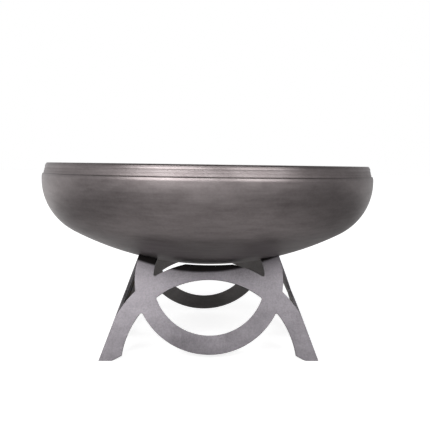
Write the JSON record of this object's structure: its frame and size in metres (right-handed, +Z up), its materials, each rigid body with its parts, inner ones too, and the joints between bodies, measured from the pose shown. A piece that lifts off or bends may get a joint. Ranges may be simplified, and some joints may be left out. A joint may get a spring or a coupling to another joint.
{
  "type": "fire pit with grate",
  "caption": "Round steel fire pit: a dished bowl with an inset rim band resting on a square base of leaning ring-and-arch plates, with a lift-out round bar grate.",
  "frame": {"origin": "on the ground under the centre of the bowl, at the centre of the square of feet", "axes": "+Z up along the bowl's axis; -Y is the front, square to one base plate; +X to the right"},
  "size_m": [0.914, 0.914, 0.485],
  "materials": {
    "bowl_steel": "bare hot-rolled mild steel, mill finish, brownish grey with soft satin reflections",
    "plate_steel": "bare cold-finished mild steel plate, pale grey satin with faint scratches and darker cut edges",
    "weld_steel": "bare weld bead, rippled, grey with heat tint",
    "grate_steel": "bare hot-rolled bar, dark mill scale"
  },
  "bodies": {
    "base": {"base_plate_front": "plate_steel", "base_plate_right": "plate_steel", "base_plate_back": "plate_steel", "base_plate_left": "plate_steel", "leg_weld_front_right": "weld_steel", "leg_weld_back_right": "weld_steel", "leg_weld_back_left": "weld_steel", "leg_weld_front_left": "weld_steel", "top_weld_front_right": "weld_steel", "top_weld_back_right": "weld_steel", "top_weld_back_left": "weld_steel", "top_weld_front_left": "weld_steel"},
    "bowl": {"fire_bowl": "bowl_steel"},
    "grate": {"grate_ring": "grate_steel", "grate_bar_1": "grate_steel", "grate_bar_2": "grate_steel", "grate_bar_3": "grate_steel", "grate_bar_4": "grate_steel", "grate_bar_5": "grate_steel", "grate_bar_6": "grate_steel", "grate_bar_7": "grate_steel", "grate_bar_8": "grate_steel", "grate_bar_9": "grate_steel", "grate_bar_10": "grate_steel", "grate_bar_11": "grate_steel", "grate_runner_left": "grate_steel", "grate_runner_right": "grate_steel", "grate_leg_front_left": "grate_steel", "grate_leg_front_right": "grate_steel", "grate_leg_back_left": "grate_steel", "grate_leg_back_right": "grate_steel"}
  },
  "joints": [
    {"name": "bowl_lift", "type": "slide", "parent": "base", "child": "bowl", "axis": [0, 0, 1], "range_m": [0, 0.1]},
    {"name": "grate_lift", "type": "slide", "parent": "bowl", "child": "grate", "axis": [0, 0, 1], "range_m": [0, 0.28]}
  ]
}
